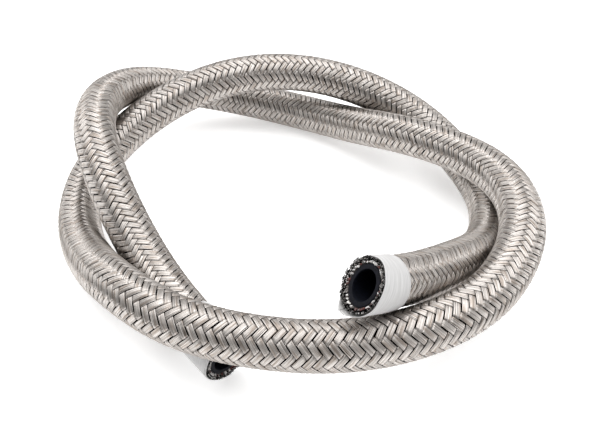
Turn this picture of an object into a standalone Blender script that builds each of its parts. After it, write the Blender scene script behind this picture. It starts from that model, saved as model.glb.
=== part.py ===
"""A rubber hose in a stainless steel wire braid, lying in a loose wreath of almost two turns.

Three layers share one route: the rubber liner, the yarn braid round it and the wire braid outside.
White tape is wound round both cut ends. Metres, +Z up, and the hose lies on z = 0.
"""
import math

import bpy
import numpy as np
from mathutils import Vector

# The hose's section, from the outside in. What the walls leave open is the bore, 8 mm wide.
OUTER_DIAMETER = 0.0140
WIRE_BRAID_WALL = 0.0006
TEXTILE_BRAID_WALL = 0.0005
LINER_WALL = 0.0013
LAYER_GAP = 0.0003

# The way that the slanted cut of the open end faces. The far end is cut square.
OPEN_CUT_FACES = (-0.2715, -0.6899, 0.6710)

# The tape round the two ends.
TAPE_WALL = 0.00025
TAPE_GAP = 0.0002
TAPE_SET_BACK = 0.0010
OPEN_END_TAPE_LENGTH = 0.0097
FAR_END_TAPE_LENGTH = 0.0165

# How finely the plain tubes are divided.
TUBE_POINTS = 80
TUBE_BEVEL_RESOLUTION = 4
TUBE_SIDES = 2 * (TUBE_BEVEL_RESOLUTION + 2)

# The middle of the hose from the raised open end to the far end, in millimetres. It lies on the
# floor where it passes under itself and rises over itself in between.
ROUTE_MM = (
    (70.4, -31.6, 37.5),
    (68.4, -10.1, 27.2),
    (64.8, 12.9, 18.1),
    (57.3, 36.2, 9.5),
    (41.7, 55.8, 7.4),
    (19.5, 67.5, 9.0),
    (-3.5, 69.5, 15.0),
    (-25.5, 62.5, 21.5),
    (-45.0, 46.5, 26.5),
    (-57.0, 25.5, 28.0),
    (-64.5, 2.0, 24.0),
    (-65.0, -21.5, 17.0),
    (-55.5, -43.0, 11.0),
    (-35.5, -58.5, 7.8),
    (-13.0, -66.0, 12.0),
    (12.0, -70.2, 20.3),
    (35.3, -66.6, 21.7),
    (55.8, -53.1, 20.4),
    (72.4, -34.6, 20.5),
    (81.8, -12.3, 21.5),
    (80.0, 14.1, 20.7),
    (69.0, 36.5, 22.5),
    (49.5, 51.5, 22.5),
    (24.5, 56.0, 20.5),
    (1.0, 52.5, 18.0),
    (-23.5, 52.5, 11.0),
    (-47.0, 49.0, 7.2),
    (-68.0, 36.5, 9.0),
    (-80.5, 17.0, 15.5),
    (-81.0, -7.0, 25.0),
    (-69.0, -27.5, 30.5),
    (-48.5, -42.0, 31.0),
    (-26.5, -49.5, 24.0),
    (-4.0, -53.0, 14.0),
    (20.5, -56.0, 10.0),
    (44.0, -56.5, 7.5),
)


def smooth_curve(points, count):
    """Return evenly spaced points of the natural cubic spline through the given points."""
    points = np.array(points, float)
    spans = np.linalg.norm(np.diff(points, axis=0), axis=1)
    places = np.concatenate([[0.0], np.cumsum(spans)])
    slopes = np.diff(points, axis=0) / spans[:, None]

    # The bends at the points follow from the slopes, and both ends run out straight.
    size = len(points)
    matrix = np.eye(size)
    right = np.zeros((size, 3))
    for i in range(1, size - 1):
        matrix[i, i - 1:i + 2] = spans[i - 1], 2 * (spans[i - 1] + spans[i]), spans[i]
        right[i] = 6 * (slopes[i] - slopes[i - 1])
    bends = np.linalg.solve(matrix, right)

    fine = np.linspace(0.0, places[-1], 40 * size)
    i = np.clip(np.searchsorted(places, fine) - 1, 0, size - 2)
    span = spans[i][:, None]
    after = (fine - places[i])[:, None]
    before = span - after
    curve = (
        bends[i] * before**3 / (6 * span)
        + bends[i + 1] * after**3 / (6 * span)
        + (points[i] / span - bends[i] * span / 6) * before
        + (points[i + 1] / span - bends[i + 1] * span / 6) * after
    )
    lengths = np.concatenate([[0.0], np.cumsum(np.linalg.norm(np.diff(curve, axis=0), axis=1))])
    even = np.linspace(0.0, lengths[-1], count)
    return np.stack([np.interp(even, lengths, curve[:, axis]) for axis in range(3)], axis=1)


def polyline_length(points):
    """Return the length along a line of points."""
    return float(np.linalg.norm(np.diff(points, axis=0), axis=1).sum())


def plain_material(name, colour, roughness, metallic):
    """Return a Principled material of one linear colour."""
    material = bpy.data.materials.new(name)
    material.use_nodes = True
    shader = material.node_tree.nodes["Principled BSDF"]
    shader.inputs["Base Color"].default_value = (*colour, 1.0)
    shader.inputs["Roughness"].default_value = roughness
    shader.inputs["Metallic"].default_value = metallic
    material.diffuse_color = (*colour, 1.0)
    return material


def hollow_tube(name, path, outer_radius, wall, material, collection, start=0.0, end=1.0):
    """Add a tube that follows the path between two shares of its length, cut square at both ends."""
    curve = bpy.data.curves.new(name, "CURVE")
    curve.dimensions = "3D"
    curve.bevel_depth = outer_radius
    curve.bevel_resolution = TUBE_BEVEL_RESOLUTION
    curve.bevel_factor_mapping_start = "SPLINE"
    curve.bevel_factor_mapping_end = "SPLINE"
    curve.bevel_factor_start = start
    curve.bevel_factor_end = end
    spline = curve.splines.new("POLY")
    spline.points.add(len(path) - 1)
    for spline_point, place in zip(spline.points, path):
        spline_point.co = (*place, 1.0)

    tube = bpy.data.objects.new(name, curve)
    collection.objects.link(tube)
    bpy.ops.object.select_all(action="DESELECT")
    tube.select_set(True)
    bpy.context.view_layer.objects.active = tube
    bpy.ops.object.convert(target="MESH")
    tube = bpy.context.view_layer.objects.active
    tube.name = name

    # The radii are at the corners of the section, and its flat sides lie nearer the middle.
    thicken = tube.modifiers.new("Wall", "SOLIDIFY")
    thicken.thickness = wall * math.cos(math.pi / TUBE_SIDES)
    thicken.offset = -1.0
    thicken.use_even_offset = True
    bpy.ops.object.modifier_apply(modifier=thicken.name)
    tube.data.materials.clear()
    tube.data.materials.append(material)
    return tube


def slant_start(tube, path, distance, outer_radius):
    """Cut a tube's start, which lies this far along the path, parallel to the slanted open end."""
    along = Vector(path[1] - path[0]).normalized()
    middle = Vector(path[0]) + along * distance
    faces = Vector(OPEN_CUT_FACES).normalized()
    for vertex in tube.data.vertices:
        from_middle = vertex.co - middle
        if abs(from_middle.dot(along)) < outer_radius / 10 and from_middle.length < outer_radius * 1.1:
            vertex.co -= along * (from_middle.dot(faces) / along.dot(faces))


def make_wire_braid(path, collection):
    """The woven sleeve of stainless steel wire: one piece, the hose's outside."""
    steel = plain_material("stainless_wire_braid", (0.42, 0.39, 0.36), 0.35, 1.0)
    tube = hollow_tube("wire_braid", path, OUTER_DIAMETER / 2, WIRE_BRAID_WALL, steel, collection)
    slant_start(tube, path, 0.0, OUTER_DIAMETER / 2)


def make_textile_braid(path, collection):
    """The thin yarn braid between the wire and the rubber."""
    yarn = plain_material("textile_yarn", (0.30, 0.24, 0.20), 0.9, 0.0)
    outer_radius = OUTER_DIAMETER / 2 - WIRE_BRAID_WALL - LAYER_GAP
    tube = hollow_tube("textile_braid", path, outer_radius, TEXTILE_BRAID_WALL, yarn, collection)
    slant_start(tube, path, 0.0, outer_radius)


def make_liner_tube(path, collection):
    """The black rubber tube that carries the fuel."""
    rubber = plain_material("black_rubber", (0.015, 0.016, 0.019), 0.55, 0.0)
    outer_radius = OUTER_DIAMETER / 2 - WIRE_BRAID_WALL - TEXTILE_BRAID_WALL - 2 * LAYER_GAP
    tube = hollow_tube("liner_tube", path, outer_radius, LINER_WALL, rubber, collection)
    slant_start(tube, path, 0.0, outer_radius)


def make_end_tapes(path, collection):
    """The white tape round each cut end, its edge set back from the cut wires and parallel to them."""
    tape = plain_material("white_tape", (0.72, 0.72, 0.70), 0.6, 0.0)
    length = polyline_length(path)
    outer_radius = OUTER_DIAMETER / 2 + TAPE_GAP + TAPE_WALL
    set_back = TAPE_SET_BACK / length
    open_end = set_back + OPEN_END_TAPE_LENGTH / length
    far_end = 1.0 - set_back - FAR_END_TAPE_LENGTH / length
    open_tape = hollow_tube("end_tape_open", path, outer_radius, TAPE_WALL, tape, collection, set_back, open_end)
    slant_start(open_tape, path, TAPE_SET_BACK, outer_radius)
    hollow_tube("end_tape_far", path, outer_radius, TAPE_WALL, tape, collection, far_end, 1.0 - set_back)


def main():
    for old in list(bpy.data.objects):
        bpy.data.objects.remove(old, do_unlink=True)
    collection = bpy.data.collections.new("Braided hose")
    bpy.context.scene.collection.children.link(collection)

    path = smooth_curve(ROUTE_MM, TUBE_POINTS) / 1000
    make_wire_braid(path, collection)
    make_textile_braid(path, collection)
    make_liner_tube(path, collection)
    make_end_tapes(path, collection)


main()
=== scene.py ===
"""The looks of a braided hose: woven steel wires, yarn, rubber and tape, dressed on the CAD model.

Every wire of the braid is a strip of its own, woven over two bands and under two. The hose's middle
is the route of the CAD model, and all pieces are laid out along it: by the length s from the open
end, by the angle round the hose, and by the distance r from the middle.
"""
import math

import bpy
import numpy as np
from bpy.props import FloatProperty, FloatVectorProperty, IntProperty, PointerProperty
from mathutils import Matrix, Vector


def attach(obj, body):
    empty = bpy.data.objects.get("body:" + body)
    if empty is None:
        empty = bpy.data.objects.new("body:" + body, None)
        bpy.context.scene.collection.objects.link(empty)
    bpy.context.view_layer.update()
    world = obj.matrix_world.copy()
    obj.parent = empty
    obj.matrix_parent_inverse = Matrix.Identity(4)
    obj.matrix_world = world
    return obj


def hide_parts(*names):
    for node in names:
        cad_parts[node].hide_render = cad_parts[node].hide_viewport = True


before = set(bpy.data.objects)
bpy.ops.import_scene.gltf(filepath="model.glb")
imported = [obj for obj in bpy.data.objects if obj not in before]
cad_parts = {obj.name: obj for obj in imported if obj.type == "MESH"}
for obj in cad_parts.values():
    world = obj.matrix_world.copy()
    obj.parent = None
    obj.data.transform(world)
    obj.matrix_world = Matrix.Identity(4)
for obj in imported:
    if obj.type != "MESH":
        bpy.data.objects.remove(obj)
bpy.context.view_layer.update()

bl_info = {
    "name": "Braided hose",
    "version": (1, 0, 0),
    "blender": (4, 5, 0),
    "location": "3D View > Sidebar > Braided hose",
    "description": "Dresses a wire braided rubber hose with its weave, cut ends, tape and studio",
    "category": "Object",
}

# The middle of the hose in metres, from the raised open end to the far end, as in the CAD model.
ROUTE = (
    (0.0704, -0.0316, 0.0375), (0.0684, -0.0101, 0.0272), (0.0648, 0.0129, 0.0181),
    (0.0573, 0.0362, 0.0095), (0.0417, 0.0558, 0.0074), (0.0195, 0.0675, 0.0090),
    (-0.0035, 0.0695, 0.0150), (-0.0255, 0.0625, 0.0215), (-0.0450, 0.0465, 0.0265),
    (-0.0570, 0.0255, 0.0280), (-0.0645, 0.0020, 0.0240), (-0.0650, -0.0215, 0.0170),
    (-0.0555, -0.0430, 0.0110), (-0.0355, -0.0585, 0.0078), (-0.0130, -0.0660, 0.0120),
    (0.0120, -0.0702, 0.0203), (0.0353, -0.0666, 0.0217), (0.0558, -0.0531, 0.0204),
    (0.0724, -0.0346, 0.0205), (0.0818, -0.0123, 0.0215), (0.0800, 0.0141, 0.0207),
    (0.0690, 0.0365, 0.0225), (0.0495, 0.0515, 0.0225), (0.0245, 0.0560, 0.0205),
    (0.0010, 0.0525, 0.0180), (-0.0235, 0.0525, 0.0110), (-0.0470, 0.0490, 0.0072),
    (-0.0680, 0.0365, 0.0090), (-0.0805, 0.0170, 0.0155), (-0.0810, -0.0070, 0.0250),
    (-0.0690, -0.0275, 0.0305), (-0.0485, -0.0420, 0.0310), (-0.0265, -0.0495, 0.0240),
    (-0.0040, -0.0530, 0.0140), (0.0205, -0.0560, 0.0100), (0.0440, -0.0565, 0.0075),
)

# The route is measured in this many fine steps for each of its points, and then divided evenly.
FINE_STEPS = 40
ROUTE_STEPS = 2400

# The open end is cut at a slant, which faces this way and has gone from the hose's layers after
# this length. The far end is cut square.
OPEN_CUT_FACES = (-0.2715, -0.6899, 0.6710)
SLANT_FADES = 0.0120

# The wires' roughness, from the darkest tone to the brightest.
WIRE_ROUGHNESS = (0.28, 0.42)

# The weave. Twelve bands run round the hose each way, and each object holds every fourth of them.
# A crossing is one unit of the weave's grid.
BANDS_EACH_WAY = 12
BAND_GROUPS = 4
BRAID_ANGLE = math.radians(55)

# One round of the weave is four crossings: a band lies on two others and then under two. These are
# the places of its shape in that round and the heights there, from 0 under the others to 1 on top.
# Under the others, where it can't be seen, it runs straight.
ROUND = 4
WEAVE_PLACES = (-0.64, -0.46, -0.26, 0.50, 1.26, 1.46, 1.64)
WEAVE_HEIGHTS = (0.0, 0.88, 1.0, 1.0, 1.0, 0.88, 0.0)
# A band's shape has no place nearer to a cut than this share of a crossing.
CLEAR_OF_CUT = 0.05

# The seeds of the chance values, for the braid and for the cut ends.
BRAID_SEED = 24
CUT_SEED = 7

# How unevenly the wires lie, in metres: a band sways and tilts, and a wire lifts.
BAND_SWAY = 0.000045
BAND_TILT = 0.000030
WIRE_LIFT = 0.000022
# A wire wanders by this share of the pitch, and at this share of places it stands apart by so much.
WIRE_WANDER = 0.035
APART_SHARE = 0.06
APART = 0.28
# Crossings from one chance value to the next, along a band and along a wire, and how far along a
# wire its lifts lie from its wanderings.
BAND_STEP = 2.0
WIRE_STEP = 3.1
LIFT_SHIFT = 1.3

# The sides of a band's top and the edges of a wire lie lower than their middles, in metres.
SIDE_LOWER = 0.00006
EDGE_LOWER = 0.000095
# The depth sets the painted shade, with some grime: from 1 on a crest to 0 under other bands. The edges
# have this share of it.
EDGE_DEPTH = 0.32
# A band's outermost wires roll over its sides. Their outer edges lie this much lower and are painted
# black, as shade.
ROLL_LOWER = 0.00045
ROLL_DEPTH = -1.0

# V goes up by this much from wire to wire, from band to band, and to the bands that run the other
# way, so that no two wires share a tone.
WIRE_TONE = 3.0
BAND_TONE = 31.0
WAY_TONE = 400.0

# The cut wires, in metres from the cut. Each is held this far back and leaves the braid here.
HELD_BACK = 0.0012
LEAVES_BRAID = 0.0005
CUT_WIRE_RADIUS = 0.000125
# They lie this much under the crests, and the inner bands' wires lower by so much more.
CUT_WIRE_SUNK = 0.00028
INNER_BAND_SUNK = 0.00036
# A bunch reaches past the cut and flares outward by at least this much, plus a chance amount.
LEAST_REACH = 0.00016
REACH_SPREAD = 0.00024
LEAST_FLARE = 0.00010
FLARE_SPREAD = 0.00016
# What share of the flare a wire has at each of its three places.
FLARE_GROWS = (0.0, 0.35, 1.0)
# Inside a bunch each wire ends this much further out than the one before, with a chance amount.
TOOTH_STEP = 0.00011
TIP_SPREAD = 0.00004
# The wires lean as the bands do, and stray by this share of their spacing.
WIRE_LEAN = 0.85
LEAN_SPREAD = 0.12
WIRE_STRAY = 0.2
# At the open end the wires are splayed by up to this much, most of all in one direction, and the
# splay falls off to its sides with this power. They reach further by this share of it.
OPEN_SPLAY = 0.0010
SPLAY_ANGLE = math.radians(270)
SPLAY_POWER = 4
SPLAY_REACH = 0.4

# The cut yarns: how many tufts there are, and how often each colour is drawn.
YARN_TUFTS = 60
YARN_MIX = ("pale", "pale", "pale", "brown", "grey")
# They stand this far from the rubber and are this thick, each plus a chance amount, in metres.
YARN_OUT = 0.00042
YARN_OUT_SPREAD = 0.00018
YARN_RADIUS = 0.00026
YARN_RADIUS_SPREAD = 0.00008
# The places along a tuft from its root, the last of them past the cut by at least this much.
YARN_PLACES = (0.0009, 0.0004, 0.0)
YARN_REACH = 0.0002
YARN_REACH_SPREAD = 0.0002
# How a tuft opens outward, how much of its sideways lean it has, and how it thins to the tip.
YARN_OPENS = (0.0, 0.0, 0.00003, 0.00008)
YARN_LEANS = (0.0, 0.3, 0.7, 1.2)
YARN_THINS = (1.0, 1.0, 0.9, 0.5)
YARN_STRAY = 0.3
YARN_LEAN_SPREAD = 0.0003

# The tape: its points round the hose and across its width, its turns and its thickness.
TAPE_GRID = (168, 26)
TAPE_TURNS = 1.33
TAPE_THICKNESS = 0.00013
# The second layer steps up by this much within this share of a turn.
LAYER_STEP = 0.00016
LAYER_STEP_TURN = 0.03
# The strip runs askew by this much, and its edges are tucked in over their outer share.
TAPE_SKEW = 0.0006
TUCK = 0.00008
TUCK_FROM = 0.86
# Its wrinkles are this many waves added up, each with fewer than so many crests in a turn. They
# slant by chance across the width and start anywhere in a turn.
WRINKLES = 14
WRINKLE_HEIGHT = 0.000016
WRINKLES_ROUND = 9
WRINKLE_SLANT = 2.2
WRINKLES_ACROSS = 3
WRINKLE_STARTS = 6.28
# The edge at the cut isn't quite straight: the height, the crests in a turn and the start of its waves.
EDGE_WAVES = ((0.00012, 3, 1.0), (0.00008, 7, 0.0))
# Where the edge has come loose: how far round it goes and over what share of the width.
FLAP_ROUND = 0.42
FLAP_ACROSS = 0.28
# A flap's angle round the hose, how far it reaches past the edge and how far it stands off.
OPEN_FLAP = (math.radians(192), 0.0010, 0.0008)
FAR_FLAP = (2.0, 0.0003, 0.0001)
# At the open end the tape hangs slack by this much, most of all in this direction.
OPEN_SLACK = 0.00028
SLACK_ANGLE = math.radians(150)
# The angles at which the two tapes start.
OPEN_TAPE_START = 3.4
FAR_TAPE_START = 1.0

# The yarn sleeve: its rings and sides, how far it ends inside the cuts, and its play against the
# wires and the rubber.
SLEEVE_RINGS = 700
SLEEVE_SIDES = 28
SLEEVE_INSIDE = 0.0003
SLEEVE_PLAY_OUT = 0.00005
SLEEVE_PLAY_IN = 0.00015

# The rubber tube: its rings and sides, and the radius and steps of its rounded cut edges.
LINER_RINGS = 260
LINER_SIDES = 40
LINER_ROUNDED = 0.00018
LINER_ROUND_STEPS = 4
LINER_FIRST_RING = 0.002

# A direction that no cut wire or yarn runs in. It turns the sections of the thin rods.
ROD_ASIDE = (0.31, 0.17, 0.93)

# The studio is brightest in this direction. Each softbox has its place, its width and the
# brightness of its face, and all of them are aimed at the hose.
BRIGHT_SIDE = (-0.30, 0.30, 0.906)
SOFTBOXES = (
    ("top_softbox", (0.0, 0.05, 1.0), 1.25, 1.9),
    ("left_softbox", (-0.85, -0.45, 0.50), 0.80, 1.4),
    ("right_softbox", (0.55, 0.85, 0.50), 0.80, 1.1),
)
SOFTBOX_AIM = (0.0, 0.0, 0.01)
# The floor reaches this far each way, and lies just under the hose.
FLOOR_REACH = 4
FLOOR_DROP = 0.0002
# The camera stands where the photograph's did. Its lens is in millimetres on a 36 mm sensor.
CAMERA_PLACE = (0.1838, -0.1472, 0.1763)
CAMERA_AIM = (-0.0016, 0.0084, 0.0002)
CAMERA_LENS = 50.83
CAMERA_SENSOR = 36.0


def smooth_curve(points, count):
    """Return evenly spaced points of the natural cubic spline through the given points."""
    points = np.array(points, float)
    spans = np.linalg.norm(np.diff(points, axis=0), axis=1)
    places = np.concatenate([[0.0], np.cumsum(spans)])
    slopes = np.diff(points, axis=0) / spans[:, None]

    # The bends at the points follow from the slopes, and both ends run out straight.
    size = len(points)
    matrix = np.eye(size)
    right = np.zeros((size, 3))
    for i in range(1, size - 1):
        matrix[i, i - 1:i + 2] = spans[i - 1], 2 * (spans[i - 1] + spans[i]), spans[i]
        right[i] = 6 * (slopes[i] - slopes[i - 1])
    bends = np.linalg.solve(matrix, right)

    fine = np.linspace(0.0, places[-1], FINE_STEPS * size)
    i = np.clip(np.searchsorted(places, fine) - 1, 0, size - 2)
    span = spans[i][:, None]
    after = (fine - places[i])[:, None]
    before = span - after
    curve = (
        bends[i] * before**3 / (6 * span)
        + bends[i + 1] * after**3 / (6 * span)
        + (points[i] / span - bends[i] * span / 6) * before
        + (points[i + 1] / span - bends[i + 1] * span / 6) * after
    )
    lengths = np.concatenate([[0.0], np.cumsum(np.linalg.norm(np.diff(curve, axis=0), axis=1))])
    even = np.linspace(0.0, lengths[-1], count)
    return np.stack([np.interp(even, lengths, curve[:, axis]) for axis in range(3)], axis=1)


class HoseRoute:
    """The hose's middle line with a frame at each place that doesn't twist round the hose."""

    def __init__(self, points, count=ROUTE_STEPS):
        self.middle = smooth_curve(points, count)
        steps = np.linalg.norm(np.diff(self.middle, axis=0), axis=1)
        self.places = np.concatenate([[0.0], np.cumsum(steps)])
        self.length = float(self.places[-1])
        self.along = np.gradient(self.middle, self.places, axis=0)
        self.along /= np.linalg.norm(self.along, axis=1)[:, None]
        across = np.zeros_like(self.middle)
        start = np.array((0.0, 0.0, 1.0))
        for i, direction in enumerate(self.along):
            start = start - direction * (start @ direction)
            start /= np.linalg.norm(start)
            across[i] = start
        self.across = across
        self.beside = np.cross(self.along, across)
        # How far the open end's cut leans, for each metre across and beside the middle.
        faces = np.array(OPEN_CUT_FACES)
        leans = np.array((self.across[0] @ faces, self.beside[0] @ faces))
        self.slant = -leans / (self.along[0] @ faces)

    def at(self, s, table):
        """Read one of the route's tables at the lengths s."""
        return np.stack([np.interp(s, self.places, table[:, axis]) for axis in range(3)], axis=-1)

    def point(self, s, angle, r):
        """Return the place at length s, at an angle round the hose and r from its middle."""
        s, angle, r = np.broadcast_arrays(s, angle, r)
        slant = np.cos(angle) * self.slant[0] + np.sin(angle) * self.slant[1]
        s = s + r * slant * np.clip(1 - s / SLANT_FADES, 0.0, 1.0)
        # The hose runs straight on past both ends.
        beyond = np.where(s < 0, s, np.maximum(s - self.length, 0.0))
        middle = self.at(s, self.middle) + beyond[..., None] * self.at(s, self.along)
        out = np.cos(angle)[..., None] * self.at(s, self.across)
        out = out + np.sin(angle)[..., None] * self.at(s, self.beside)
        return middle + r[..., None] * out


def linear(hex_colour):
    """Turn an sRGB hex colour such as b9aea6 into linear red, green, blue and alpha."""
    values = [int(hex_colour[i:i + 2], 16) / 255 for i in (0, 2, 4)]
    return (*[v / 12.92 if v <= 0.04045 else ((v + 0.055) / 1.055) ** 2.4 for v in values], 1.0)


def add_node(tree, kind, settings=None, values=None, links=None, stops=()):
    """Add one node with its settings, its sockets' values and links, and a ramp's two stops."""
    node = tree.nodes.new(kind)
    for name, value in (settings or {}).items():
        setattr(node, name, value)
    for name, value in (values or {}).items():
        node.inputs[name].default_value = value
    for name, socket in (links or {}).items():
        tree.links.new(socket, node.inputs[name])
    for i, (place, colour) in enumerate(stops):
        node.color_ramp.elements[i].position = place
        node.color_ramp.elements[i].color = colour
    return node


def new_material(name, roughness, metallic):
    """Start a Principled material and return it with its tree and shader."""
    material = bpy.data.materials.new(name)
    material.use_nodes = True
    tree = material.node_tree
    shader = tree.nodes["Principled BSDF"]
    shader.inputs["Roughness"].default_value = roughness
    shader.inputs["Metallic"].default_value = metallic
    return material, tree, shader


def add_mesh(name, points, faces, material, smooth=True, wires=None, depth=None):
    """Add a mesh object from arrays of points and of faces that all have as many corners.

    Each point may also have its place in the UV map "wires" and its depth in the weave, which the
    materials read.
    """
    points = np.asarray(points, float).reshape(-1, 3)
    faces = np.asarray(faces, np.int32)
    mesh = bpy.data.meshes.new(name)
    mesh.vertices.add(len(points))
    mesh.vertices.foreach_set("co", points.astype(np.float32).ravel())
    mesh.loops.add(faces.size)
    mesh.loops.foreach_set("vertex_index", faces.ravel())
    mesh.polygons.add(len(faces))
    mesh.polygons.foreach_set("loop_start", np.arange(0, faces.size, faces.shape[1], dtype=np.int32))
    mesh.polygons.foreach_set("use_smooth", np.full(len(faces), smooth))
    mesh.update(calc_edges=True)
    if wires is not None:
        layer = mesh.uv_layers.new(name="wires")
        layer.uv.foreach_set("vector", np.asarray(wires, np.float32)[faces.ravel()].ravel())
    if depth is not None:
        layer = mesh.attributes.new("depth", "FLOAT", "POINT")
        layer.data.foreach_set("value", np.asarray(depth, np.float32))
    mesh.materials.append(material)
    thing = bpy.data.objects.new(name, mesh)
    bpy.context.scene.collection.objects.link(thing)
    return thing


def grid_faces(rows, columns, closed=False, start=0):
    """Return the four-cornered faces of a grid of points, whose rows may each close on themselves."""
    row = np.arange(rows - 1)[:, None]
    column = np.arange(columns if closed else columns - 1)[None, :]
    after = (column + 1) % columns
    corners = (row * columns + column, row * columns + after,
               (row + 1) * columns + after, (row + 1) * columns + column)
    corners = [np.broadcast_to(corner, (rows - 1, column.size)) for corner in corners]
    return np.stack(corners, -1).reshape(-1, 4) + start


def drawn_stainless_wire(colour):
    """Stainless steel wire, bright drawn: a warm satin grey, each wire with a tone of its own."""
    material, tree, shader = new_material("drawn_stainless_wire", WIRE_ROUGHNESS[0], 1.0)
    place = add_node(tree, "ShaderNodeUVMap", {"uv_map": "wires"})
    # U runs along the hose in metres, and V is three further at each wire. The tone of a wire
    # changes every 8 mm.
    along = add_node(tree, "ShaderNodeMapping", values={"Scale": (120.0, 3.1, 1.0)},
                     links={"Vector": place.outputs["UV"]})
    streak = add_node(tree, "ShaderNodeTexNoise", values={"Scale": 1.0, "Detail": 2.0, "Roughness": 0.6},
                      links={"Vector": along.outputs["Vector"]})
    wire = add_node(tree, "ShaderNodeValToRGB", links={"Fac": streak.outputs["Fac"]},
                    stops=((0.32, linear("a29c97")), (0.66, (*colour, 1.0))))
    # A thin film of oil dulls patches 3 mm long and three wires wide, and leaves others bright.
    patch = add_node(tree, "ShaderNodeMapping", values={"Scale": (300.0, 0.11, 1.0)},
                     links={"Vector": place.outputs["UV"]})
    film = add_node(tree, "ShaderNodeTexNoise", values={"Scale": 1.0, "Detail": 1.0},
                    links={"Vector": patch.outputs["Vector"]})
    oil = add_node(tree, "ShaderNodeValToRGB", links={"Fac": film.outputs["Fac"]},
                   stops=((0.36, linear("ddd6d0")), (0.50, linear("ffffff"))))
    # Painted shade, with some grime: the colour darkens between the wires and where a band goes down
    # under another, and goes black on a band's rolled outer edges.
    depth = add_node(tree, "ShaderNodeAttribute", {"attribute_name": "depth"})
    grime_and_painted_shade = add_node(tree, "ShaderNodeValToRGB", links={"Fac": depth.outputs["Fac"]},
                     stops=((0.16, linear("080605")), (0.64, linear("ffffff"))))
    oiled = add_node(tree, "ShaderNodeVectorMath", {"operation": "MULTIPLY"},
                     links={0: wire.outputs["Color"], 1: oil.outputs["Color"]})
    shaded = add_node(tree, "ShaderNodeVectorMath", {"operation": "MULTIPLY"},
                      links={0: oiled.outputs["Vector"], 1: grime_and_painted_shade.outputs["Color"]})
    tree.links.new(shaded.outputs["Vector"], shader.inputs["Base Color"])
    gloss = add_node(tree, "ShaderNodeMapRange",
                     values={"To Min": WIRE_ROUGHNESS[0], "To Max": WIRE_ROUGHNESS[1]},
                     links={"Value": streak.outputs["Fac"]})
    tree.links.new(gloss.outputs["Result"], shader.inputs["Roughness"])
    return material


def sheared_stainless_wire():
    """Sheared ends of the same wire: dark and rough, with bright burrs 0.4 mm apart."""
    material, tree, shader = new_material("sheared_stainless_wire", 0.38, 1.0)
    place = add_node(tree, "ShaderNodeTexCoord")
    burr = add_node(tree, "ShaderNodeTexNoise", values={"Scale": 2300.0, "Detail": 1.0},
                    links={"Vector": place.outputs["Object"]})
    shade = add_node(tree, "ShaderNodeValToRGB", links={"Fac": burr.outputs["Fac"]},
                     stops=((0.51, linear("120f0f")), (0.60, linear("fffcfa"))))
    tree.links.new(shade.outputs["Color"], shader.inputs["Base Color"])
    return material


def extruded_nitrile_rubber(colour):
    """Nitrile rubber, extruded smooth: blue-black, softly dull, with a faint grain 0.7 mm across."""
    material, tree, shader = new_material("extruded_nitrile_rubber", 0.55, 0.0)
    shader.inputs["Specular IOR Level"].default_value = 0.10
    place = add_node(tree, "ShaderNodeTexCoord")
    grain = add_node(tree, "ShaderNodeTexNoise", values={"Scale": 1500.0, "Detail": 3.0},
                     links={"Vector": place.outputs["Object"]})
    shade = add_node(tree, "ShaderNodeValToRGB", links={"Fac": grain.outputs["Fac"]},
                     stops=((0.30, linear("08090d")), (0.70, (*colour, 1.0))))
    tree.links.new(shade.outputs["Color"], shader.inputs["Base Color"])
    bump = add_node(tree, "ShaderNodeBump", values={"Strength": 0.25, "Distance": 0.00008},
                    links={"Height": grain.outputs["Fac"]})
    tree.links.new(bump.outputs["Normal"], shader.inputs["Normal"])
    return material


def twisted_yarn(name, dark, light):
    """Cotton or polyester yarn, twisted: matt and fuzzy, with strands 0.15 mm across."""
    material, tree, shader = new_material(name, 0.88, 0.0)
    shader.inputs["Sheen Weight"].default_value = 0.25
    place = add_node(tree, "ShaderNodeTexCoord")
    strand = add_node(tree, "ShaderNodeTexNoise", values={"Scale": 3300.0, "Detail": 2.0},
                      links={"Vector": place.outputs["Object"]})
    shade = add_node(tree, "ShaderNodeValToRGB", links={"Fac": strand.outputs["Fac"]},
                     stops=((0.38, linear(dark)), (0.62, linear(light))))
    tree.links.new(shade.outputs["Color"], shader.inputs["Base Color"])
    bump = add_node(tree, "ShaderNodeBump", values={"Strength": 0.5, "Distance": 0.0001},
                    links={"Height": strand.outputs["Fac"]})
    tree.links.new(bump.outputs["Normal"], shader.inputs["Normal"])
    return material


def stretched_vinyl_tape(colour):
    """White vinyl tape, stretched on: satin off-white, with faint lines round the hose."""
    material, tree, shader = new_material("stretched_vinyl_tape", 0.46, 0.0)
    shader.inputs["Subsurface Weight"].default_value = 0.10
    shader.inputs["Subsurface Radius"].default_value = (0.002, 0.002, 0.002)
    shader.inputs["Subsurface Scale"].default_value = 0.4
    place = add_node(tree, "ShaderNodeUVMap", {"uv_map": "wires"})
    # U runs along the hose and V round it, both in millimetres: the lines lie 0.4 mm apart.
    lines = add_node(tree, "ShaderNodeMapping", values={"Scale": (2.5, 0.12, 1.0)},
                     links={"Vector": place.outputs["UV"]})
    tone = add_node(tree, "ShaderNodeTexNoise", values={"Scale": 1.0, "Detail": 3.0, "Roughness": 0.6},
                    links={"Vector": lines.outputs["Vector"]})
    shade = add_node(tree, "ShaderNodeValToRGB", links={"Fac": tone.outputs["Fac"]},
                     stops=((0.25, linear("b3b2b1")), (0.75, (*colour, 1.0))))
    tree.links.new(shade.outputs["Color"], shader.inputs["Base Color"])
    bump = add_node(tree, "ShaderNodeBump", values={"Strength": 0.20, "Distance": 0.00006},
                    links={"Height": tone.outputs["Fac"]})
    tree.links.new(bump.outputs["Normal"], shader.inputs["Normal"])
    return material


def round_tube(route, places, radius, sides):
    """Return the points of rings round the hose, one ring for each place along it."""
    angle = np.arange(sides) * 2 * math.pi / sides
    return route.point(np.asarray(places)[:, None], angle[None, :], radius)


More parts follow.
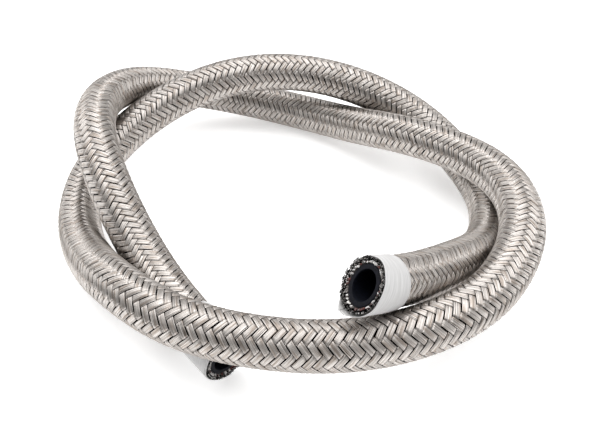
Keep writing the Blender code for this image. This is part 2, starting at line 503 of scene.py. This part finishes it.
def thin_rod(middle, radius):
    """Return points and faces of a six-sided rod along a few places, closed at both ends."""
    sides = 6
    middle = np.asarray(middle, float)
    radius = np.broadcast_to(radius, len(middle))
    along = np.gradient(middle, axis=0)
    along /= np.linalg.norm(along, axis=1)[:, None]
    side = np.cross(along, ROD_ASIDE)
    side /= np.linalg.norm(side, axis=1)[:, None]
    other = np.cross(along, side)
    angle = np.arange(sides) * 2 * math.pi / sides
    ring = (np.cos(angle)[None, :, None] * side[:, None, :]
            + np.sin(angle)[None, :, None] * other[:, None, :])
    points = middle[:, None, :] + ring * radius[:, None, None]
    near_cap = np.array(((0, 1, 2, 3), (0, 3, 4, 5)))
    far_cap = near_cap[:, ::-1] + (len(middle) - 1) * sides
    walls = grid_faces(len(middle), sides, closed=True)
    return points.reshape(-1, 3), np.concatenate([walls, near_cap, far_cap])


def join_parts(parts):
    """Join several (points, faces) into one, with the faces' corners counted on."""
    counts = np.cumsum([0] + [len(points) for points, _ in parts])
    return (np.concatenate([points for points, _ in parts]),
            np.concatenate([faces + count for (_, faces), count in zip(parts, counts)]))


class BraidSizes(bpy.types.PropertyGroup):
    """The sizes and colour of the wire braid."""

    top: FloatProperty(name="Crest radius", description="From the hose's middle to the outermost wires",
                       default=0.00702, unit="LENGTH")
    drop: FloatProperty(name="Weave depth", description="How far a band goes down under the others",
                        default=0.00058, unit="LENGTH")
    lead: FloatProperty(name="Lead", description="Length of hose in which a band goes round once",
                        default=0.0303, unit="LENGTH")
    wires: IntProperty(name="Wires in a band", description="Wires side by side in each band",
                       default=7, min=2)
    wire_pitch: FloatProperty(name="Wire pitch", description="From one wire's middle to the next one's",
                              default=0.000266, unit="LENGTH")
    wire_width: FloatProperty(name="Wire width", description="Width that shows of one wire",
                              default=0.000256, unit="LENGTH")
    turn: FloatProperty(name="Turn", description="Angle that the whole weave is turned round the hose",
                        default=math.radians(14.0), subtype="ANGLE")
    colour: FloatVectorProperty(name="Steel", description="Colour of the bright wire", subtype="COLOR",
                                min=0.0, max=1.0, default=linear("e1dbd6")[:3])


class EndSizes(bpy.types.PropertyGroup):
    """The sizes and colours of the rubber tube, the cut ends and their tape."""

    bore: FloatProperty(name="Bore", description="Inner radius of the rubber tube",
                        default=0.0040, unit="LENGTH")
    liner: FloatProperty(name="Liner", description="Outer radius of the rubber tube",
                         default=0.0053, unit="LENGTH")
    yarn: FloatProperty(name="Yarn braid", description="Outer radius of the yarn braid",
                        default=0.0061, unit="LENGTH")
    tape: FloatProperty(name="Tape", description="Outer radius of the first layer of tape",
                        default=0.00728, unit="LENGTH")
    set_back: FloatProperty(name="Set back", default=-0.0001, unit="LENGTH",
                            description="From the cut to the tape's edge, negative past it")
    open_tape: FloatProperty(name="Tape at the open end", description="Width of the tape there",
                             default=0.0106, unit="LENGTH")
    far_tape: FloatProperty(name="Tape at the far end", description="Width of the tape there",
                            default=0.0165, unit="LENGTH")
    rubber_colour: FloatVectorProperty(name="Rubber", description="Colour of the rubber tube",
                                       subtype="COLOR", min=0.0, max=1.0, default=linear("14161f")[:3])
    tape_colour: FloatVectorProperty(name="Tape colour", description="Colour of the tape",
                                     subtype="COLOR", min=0.0, max=1.0, default=linear("cccbcb")[:3])


def braid_band(route, sizes, band, right_hand, chance):
    """Return points, faces, wire places and depths of one band of wires, which runs the whole hose.

    The weave's grid has the axes a and q, one unit a crossing. The bands of one way run along q and
    those of the other along a. The hose's length follows from a - q, and the angle round it from
    a + q.
    """
    unit_angle = math.pi / BANDS_EACH_WAY
    unit_along = sizes.lead / (2 * BANDS_EACH_WAY)
    unit_length = math.hypot(unit_angle * sizes.top, unit_along)
    grid_angle = 2 * math.atan2(unit_along, unit_angle * sizes.top)
    across_unit = unit_length * math.sin(grid_angle)
    total = route.length / unit_along
    shift = (-band if right_hand else -band + ROUND // 2) % ROUND

    band_knots = np.arange(-2 * ROUND - total, BANDS_EACH_WAY + total + 2 * ROUND, BAND_STEP)
    tilts = chance.normal(0.0, BAND_TILT, len(band_knots))
    sways = chance.normal(0.0, BAND_SWAY / across_unit, len(band_knots))
    places = np.array(WEAVE_PLACES)
    half = sizes.wire_width / 2 / across_unit
    pitch = sizes.wire_pitch / across_unit
    rolled_edges = {0: -1, sizes.wires - 1: 1}
    points, faces, tones, depths = [], [], [], []
    count = 0
    for wire in range(sizes.wires):
        off_middle = wire - (sizes.wires - 1) / 2
        line = band + off_middle * pitch
        # At the cut, s is nought: a right-hand band then has q = a, and runs down to a - total.
        first = line - total if right_hand else line
        last = first + total
        rounds = np.arange(math.floor(first / ROUND) - 1, math.ceil(last / ROUND) + 2)
        run = (rounds[:, None] * ROUND + shift + places[None, :]).ravel()
        run = run[(run > first + CLEAR_OF_CUT) & (run < last - CLEAR_OF_CUT)]
        run = np.concatenate([[first], run, [last]])

        knots = np.arange(math.floor(first) - ROUND, math.ceil(last) + 2 * ROUND, WIRE_STEP)
        wander = chance.normal(0.0, WIRE_WANDER, len(knots))
        apart = chance.random(len(knots)) < APART_SHARE
        wander = (wander + np.where(apart, chance.normal(0.0, APART, len(knots)), 0.0)) * pitch
        wander = np.interp(run, knots, wander) + np.interp(run, band_knots, sways)
        side = off_middle / ((sizes.wires - 1) / 2)
        lift = np.interp(run, knots + LIFT_SHIFT, chance.normal(0.0, WIRE_LIFT, len(knots)))
        lift = lift + side * np.interp(run, band_knots, tilts)
        height = np.interp(run - shift, places, WEAVE_HEIGHTS, period=ROUND)
        r = sizes.top - SIDE_LOWER * side**2 - sizes.drop * (1 - height) + lift
        tone = wire * WIRE_TONE + band * BAND_TONE + right_hand * WAY_TONE
        # The depth sets the painted shade: none on a crest, some on a wire's edges, most under other
        # bands, and black on a band's rolled outer edges.
        for edge in (-1, 0, 1):
            fixed = line + wander + edge * half
            if edge and edge == rolled_edges.get(wire):
                lower, depth = ROLL_LOWER, np.full(len(run), ROLL_DEPTH)
            elif edge:
                lower, depth = EDGE_LOWER, height * EDGE_DEPTH
            else:
                lower, depth = 0.0, height
            a, q = (fixed, run) if right_hand else (run, fixed)
            s = np.clip((a - q) * unit_along, 0.0, route.length)
            points.append(route.point(s, (a + q) * unit_angle + sizes.turn, r - lower))
            tones.append(np.stack([s, np.full(len(s), tone)], 1))
            depths.append(depth)
        # The points are stored wire by wire, edge by edge, and each wire is two strips wide.
        n = len(run)
        for strip in range(2):
            i = count + strip * n + np.arange(n - 1)
            quad = np.stack([i, i + n, i + n + 1, i + 1], 1)
            faces.append(quad[:, ::-1] if right_hand else quad)
        count += 3 * n
    return [np.concatenate(parts) for parts in (points, faces, tones, depths)]


class HOSE_OT_textile_sleeve(bpy.types.Operator):
    """Add the dark yarn sleeve under the wires, closed at both cuts"""

    bl_idname = "hose.textile_sleeve"
    bl_label = "Add the yarn sleeve"

    def execute(self, context):
        ends = context.scene.hose_ends
        route = HoseRoute(ROUTE)
        # The sleeve is painted near-black: this is painted shade under the wires, seen through the gaps
        # between the bands. The yarn at the cuts is paler.
        cloth = twisted_yarn("cotton_yarn_in_painted_shade", "120e0c", "2a211c")
        rows, sides = SLEEVE_RINGS, SLEEVE_SIDES
        places = np.linspace(SLEEVE_INSIDE, route.length - SLEEVE_INSIDE, rows)
        outer = round_tube(route, places, ends.yarn - SLEEVE_PLAY_OUT, sides)
        inner = round_tube(route, places, ends.liner + SLEEVE_PLAY_IN, sides)
        points = np.concatenate([outer.reshape(-1, 3), inner.reshape(-1, 3)])
        skin = grid_faces(rows, sides, closed=True)
        lining = grid_faces(rows, sides, closed=True, start=rows * sides)[:, ::-1]
        i = np.arange(sides)
        j = (i + 1) % sides
        caps = []
        for ring, flip in ((0, False), ((rows - 1) * sides, True)):
            quad = np.stack([ring + i, ring + rows * sides + i, ring + rows * sides + j, ring + j], 1)
            caps.append(quad[:, ::-1] if flip else quad)
        sleeve = add_mesh("textile_sleeve", points, np.concatenate([skin, lining, *caps]), cloth)
        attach(sleeve, "root")
        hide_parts("textile_braid")
        return {"FINISHED"}


class HOSE_OT_wire_braid(bpy.types.Operator):
    """Weave the stainless steel wires, three bands to an object"""

    bl_idname = "hose.wire_braid"
    bl_label = "Weave the wire braid"

    def execute(self, context):
        sizes = context.scene.hose_braid
        route = HoseRoute(ROUTE)
        chance = np.random.default_rng(BRAID_SEED)
        steel = drawn_stainless_wire(sizes.colour)
        for right_hand in (True, False):
            for group in range(BAND_GROUPS):
                bands = [braid_band(route, sizes, band, right_hand, chance)
                         for band in range(group, BANDS_EACH_WAY, BAND_GROUPS)]
                points, faces = join_parts([band[:2] for band in bands])
                side = "right" if right_hand else "left"
                thing = add_mesh(f"wire_bands_{side}_{group + 1}", points, faces, steel,
                                 wires=np.concatenate([band[2] for band in bands]),
                                 depth=np.concatenate([band[3] for band in bands]))
                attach(thing, "root")
                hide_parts("wire_braid")
        return {"FINISHED"}


class HOSE_OT_liner(bpy.types.Operator):
    """Add the black rubber tube with softly rounded cut edges"""

    bl_idname = "hose.liner"
    bl_label = "Add the rubber tube"

    def execute(self, context):
        ends = context.scene.hose_ends
        route = HoseRoute(ROUTE)
        rubber = extruded_nitrile_rubber(ends.rubber_colour)
        # The section runs round one cut edge, along the bore, round the other, and back outside.
        edge = LINER_ROUNDED
        turns = np.linspace(0, math.pi / 2, LINER_ROUND_STEPS)
        start = [(edge - edge * math.sin(turn), ends.liner - edge + edge * math.cos(turn))
                 for turn in turns]
        start += [(edge - edge * math.cos(turn), ends.bore + edge - edge * math.sin(turn))
                  for turn in turns]
        end = [(route.length - s, r) for s, r in reversed(start)]
        rings = np.linspace(LINER_FIRST_RING, route.length - LINER_FIRST_RING, LINER_RINGS)
        bore = [(s, ends.bore) for s in rings]
        outside = [(s, ends.liner) for s in rings[::-1]]
        section = np.array(start + bore + end + outside)
        rows, sides = len(section), LINER_SIDES
        angle = np.arange(sides) * 2 * math.pi / sides
        points = route.point(section[:, :1], angle[None, :], section[:, 1:])
        faces = grid_faces(rows, sides, closed=True)
        i = np.arange(sides)
        j = (i + 1) % sides
        close = np.stack([(rows - 1) * sides + i, (rows - 1) * sides + j, j, i], 1)
        tube = add_mesh("rubber_tube", points, np.concatenate([faces, close])[:, ::-1], rubber)
        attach(tube, "root")
        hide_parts("liner_tube")
        return {"FINISHED"}


def cut_wires(route, sizes, ends, cut, sign, splayed, chance):
    """Return the wires that stand out from under the tape, in bunches that were sheared at a slant."""
    parts = []
    spacing = sizes.wire_pitch / math.cos(BRAID_ANGLE) / sizes.top
    for band in range(2 * BANDS_EACH_WAY):
        middle_angle = math.pi * band / BANDS_EACH_WAY
        outer = band % 2
        lean = (1 if outer else -1) * (WIRE_LEAN + chance.normal(0, LEAN_SPREAD))
        splay = splayed * (0.5 + 0.5 * math.cos(middle_angle - SPLAY_ANGLE)) ** SPLAY_POWER
        for bunch in np.array_split(np.arange(sizes.wires), 2):
            reach = LEAST_REACH + abs(chance.normal(0, REACH_SPREAD)) + SPLAY_REACH * splay
            flare = LEAST_FLARE + abs(chance.normal(0, FLARE_SPREAD)) + splay
            out = sizes.top - CUT_WIRE_SUNK - INNER_BAND_SUNK * (1 - outer)
            out = out + np.array(FLARE_GROWS) * flare
            for place, wire in enumerate(bunch):
                angle = middle_angle + (wire - (sizes.wires - 1) / 2) * spacing
                angle += chance.normal(0, WIRE_STRAY) * spacing
                # Each bunch is a tooth: its wires end one after the other.
                tip = reach + TOOTH_STEP * place + chance.normal(0, TIP_SPREAD)
                s = np.array((ends.set_back + HELD_BACK, LEAVES_BRAID, -tip))
                leaning = angle + lean * (LEAVES_BRAID - s) / sizes.top
                parts.append(thin_rod(route.point(cut + sign * s, leaning, out), CUT_WIRE_RADIUS))
    return join_parts(parts)


def cut_yarns(route, ends, cut, sign, chance):
    """Return the short soft tufts between the rubber and the wires, for each colour of yarn."""
    tufts = {name: [] for name in ("pale", "brown", "grey")}
    for i in range(YARN_TUFTS):
        name = chance.choice(YARN_MIX)
        angle = (i + chance.normal(0, YARN_STRAY)) * 2 * math.pi / YARN_TUFTS
        r = ends.liner + YARN_OUT + abs(chance.normal(0, YARN_OUT_SPREAD)) + np.array(YARN_OPENS)
        wide = YARN_RADIUS + abs(chance.normal(0, YARN_RADIUS_SPREAD))
        s = np.array((*YARN_PLACES, -YARN_REACH - abs(chance.normal(0, YARN_REACH_SPREAD))))
        lean = chance.normal(0, YARN_LEAN_SPREAD) * np.array(YARN_LEANS) / r
        tufts[name].append(thin_rod(route.point(cut + sign * s, angle + lean, r),
                                    wide * np.array(YARN_THINS)))
    return tufts


class HOSE_OT_cut_ends(bpy.types.Operator):
    """Add the cut wire ends and yarn tips at both ends"""

    bl_idname = "hose.cut_ends"
    bl_label = "Add the cut ends"

    def execute(self, context):
        sizes = context.scene.hose_braid
        ends = context.scene.hose_ends
        route = HoseRoute(ROUTE)
        chance = np.random.default_rng(CUT_SEED)
        steel = sheared_stainless_wire()
        yarns = {"pale": twisted_yarn("bleached_cotton_yarn", "d2ccc6", "ffffff"),
                 "brown": twisted_yarn("red_brown_polyester_yarn", "35191a", "743f38"),
                 "grey": twisted_yarn("grey_cotton_yarn", "4b4745", "8b8581")}
        for end, sign, cut, splayed in (("open", 1.0, 0.0, OPEN_SPLAY),
                                        ("far", -1.0, route.length, 0.0)):
            points, faces = cut_wires(route, sizes, ends, cut, sign, splayed, chance)
            rods = add_mesh(f"wire_ends_{end}", points, faces, steel)
            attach(rods, "root")
            for name, parts in cut_yarns(route, ends, cut, sign, chance).items():
                tuft = add_mesh(f"yarn_tips_{name}_{end}", *join_parts(parts), yarns[name])
                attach(tuft, "root")
        return {"FINISHED"}


def wound_tape(route, ends, cut, sign, width, start_angle, flap, slack, material, name):
    """Add a strip of tape that goes one and a third times round the hose.

    The flap is where the tape's edge has come loose: its angle, how far it reaches past the rest of
    the edge, and how far it stands off. The slack is how far the tape hangs off the wires.
    """
    around, across = TAPE_GRID
    flap_angle, flap_reach, flap_height = flap
    t = np.linspace(0, 1, around)[:, None]
    u = np.linspace(0, 1, across)[None, :]
    angle = start_angle + t * TAPE_TURNS * 2 * math.pi + 0 * u
    # The second layer lies on the first, and its start is stepped over.
    lift = np.clip((t * TAPE_TURNS - 1.0) / LAYER_STEP_TURN, 0, 1) * LAYER_STEP
    # Each tape has a seed, and so wrinkles, of its own.
    chance = np.random.default_rng(int(start_angle * 10))
    wrinkles = np.zeros((around, across))
    for _ in range(WRINKLES):
        times, slant = chance.integers(1, WRINKLES_ROUND), chance.normal(0, WRINKLE_SLANT)
        height, start = chance.normal(0, 1), chance.random() * WRINKLE_STARTS
        wrinkles += height * np.sin(times * angle + slant * u * WRINKLES_ACROSS + start)
    edge = np.abs(u - 0.5) * 2
    tuck = -TUCK * np.clip((edge - TUCK_FROM) / (1 - TUCK_FROM), 0, 1) ** 2
    off = np.mod(angle - flap_angle + math.pi, 2 * math.pi) - math.pi
    loose = np.exp(-(off / FLAP_ROUND) ** 2) * np.clip(1 - u / FLAP_ACROSS, 0, 1) ** 1.5
    hang = slack * np.clip(np.cos(angle - SLACK_ANGLE), 0, 1)
    r = ends.tape + lift + wrinkles * WRINKLE_HEIGHT + tuck + loose * flap_height + hang
    jag = sum(height * np.sin(angle * times + start) for height, times, start in EDGE_WAVES)
    s = ends.set_back + u * width + TAPE_SKEW * (t - 0.5) + jag * (1 - u) - loose * flap_reach
    faces = grid_faces(around, across)
    if sign > 0:
        faces = faces[:, ::-1]
    millimetres = np.stack([s * 1000, angle * ends.tape * 1000], -1).reshape(-1, 2)
    tape = add_mesh(name, route.point(cut + sign * s, angle, r), faces, material, wires=millimetres)
    thick = tape.modifiers.new("Tape thickness", "SOLIDIFY")
    thick.thickness = TAPE_THICKNESS
    thick.offset = 1.0
    return tape


class HOSE_OT_end_tapes(bpy.types.Operator):
    """Wind the white tape round both ends"""

    bl_idname = "hose.end_tapes"
    bl_label = "Wind the end tapes"

    def execute(self, context):
        ends = context.scene.hose_ends
        route = HoseRoute(ROUTE)
        vinyl = stretched_vinyl_tape(ends.tape_colour)
        for end, sign, cut, width, start_angle, flap, slack in (
                ("open", 1.0, 0.0, ends.open_tape, OPEN_TAPE_START, OPEN_FLAP, OPEN_SLACK),
                ("far", -1.0, route.length, ends.far_tape, FAR_TAPE_START, FAR_FLAP, 0.0)):
            tape = wound_tape(route, ends, cut, sign, width, start_angle, flap, slack, vinyl,
                              f"tape_{end}")
            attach(tape, "root")
            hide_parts(f"end_tape_{end}")
        return {"FINISHED"}


def aim_at(thing, target):
    """Turn an object so that its -Z looks at the target, with +Y up."""
    towards = Vector(target) - Vector(thing.location)
    thing.rotation_euler = towards.to_track_quat("-Z", "Y").to_euler()


class HOSE_OT_studio(bpy.types.Operator):
    """Add the pale floor, the soft lights and the camera"""

    bl_idname = "hose.studio"
    bl_label = "Add the studio"

    def execute(self, context):
        scene = context.scene
        # White paper is matt, and its grain is too fine to see here. It glows a little, so that the
        # hose's shadow stays faint.
        paper, _, shader = new_material("white_paper_sweep", 0.9, 0.0)
        shader.inputs["Base Color"].default_value = linear("f6f6f6")
        shader.inputs["Emission Color"].default_value = (1.0, 1.0, 1.0, 1.0)
        shader.inputs["Emission Strength"].default_value = 0.45
        corners = np.array(((-1, -1, 0), (1, -1, 0), (1, 1, 0), (-1, 1, 0))) * FLOOR_REACH
        floor = add_mesh("studio_floor", corners, [(0, 1, 2, 3)], paper, smooth=False)
        floor.location.z = -FLOOR_DROP

        world = bpy.data.worlds.new("soft_studio")
        world.use_nodes = True
        # The room is bright above and behind the hose, and dimmer low down and in front of it.
        sky = world.node_tree
        place = add_node(sky, "ShaderNodeTexCoord")
        upward = add_node(sky, "ShaderNodeVectorMath", {"operation": "DOT_PRODUCT"},
                          values={1: BRIGHT_SIDE}, links={0: place.outputs["Generated"]})
        dome = add_node(sky, "ShaderNodeMapRange", {"interpolation_type": "SMOOTHSTEP"},
                        values={"From Min": 0.05, "From Max": 0.85, "To Min": 0.26, "To Max": 1.0},
                        links={"Value": upward.outputs["Value"]})
        sky.nodes["Background"].inputs["Color"].default_value = (1.0, 1.0, 1.0, 1.0)
        sky.links.new(dome.outputs["Result"], sky.nodes["Background"].inputs["Strength"])
        scene.world = world
        # A light's energy follows from its size and the brightness of its face.
        for name, place, size, face in SOFTBOXES:
            lamp = bpy.data.lights.new(name, "AREA")
            lamp.energy = math.pi * size**2 * face
            lamp.shape = "SQUARE"
            lamp.size = size
            box = bpy.data.objects.new(name, lamp)
            box.location = place
            aim_at(box, SOFTBOX_AIM)
            box.visible_camera = False
            scene.collection.objects.link(box)

        lens = bpy.data.cameras.new("photo_camera")
        lens.lens = CAMERA_LENS
        lens.sensor_width = CAMERA_SENSOR
        lens.clip_start = 0.01
        camera = bpy.data.objects.new("photo_camera", lens)
        camera.location = CAMERA_PLACE
        aim_at(camera, CAMERA_AIM)
        scene.collection.objects.link(camera)
        scene.camera = camera
        scene.view_settings.view_transform = "Standard"
        return {"FINISHED"}


class HOSE_OT_declare(bpy.types.Operator):
    bl_idname = "hose.declare"
    bl_label = "Declare the hose"

    def execute(self, context):
        return {"FINISHED"}


class HOSE_PT_panel(bpy.types.Panel):
    """Lists the hose's sizes and the steps that build it"""

    bl_idname = "HOSE_PT_panel"
    bl_label = "Braided hose"
    bl_space_type = "VIEW_3D"
    bl_region_type = "UI"
    bl_category = "Braided hose"

    def draw(self, context):
        for group, names in ((context.scene.hose_braid, BraidSizes.__annotations__),
                             (context.scene.hose_ends, EndSizes.__annotations__)):
            box = self.layout.box()
            for name in names:
                box.prop(group, name)
        for operator in OPERATORS:
            self.layout.operator(operator.bl_idname)


OPERATORS = (HOSE_OT_studio, HOSE_OT_textile_sleeve, HOSE_OT_wire_braid, HOSE_OT_liner,
             HOSE_OT_cut_ends, HOSE_OT_end_tapes, HOSE_OT_declare)
CLASSES = (BraidSizes, EndSizes, *OPERATORS, HOSE_PT_panel)


def register():
    for cls in CLASSES:
        bpy.utils.register_class(cls)
    bpy.types.Scene.hose_braid = PointerProperty(type=BraidSizes)
    bpy.types.Scene.hose_ends = PointerProperty(type=EndSizes)


def unregister():
    del bpy.types.Scene.hose_ends
    del bpy.types.Scene.hose_braid
    for cls in reversed(CLASSES):
        bpy.utils.unregister_class(cls)


def main():
    register()
    bpy.ops.hose.studio()
    bpy.ops.hose.textile_sleeve()
    bpy.ops.hose.wire_braid()
    bpy.ops.hose.liner()
    bpy.ops.hose.cut_ends()
    bpy.ops.hose.end_tapes()
    bpy.ops.hose.declare()


if __name__ == "__main__":
    main()
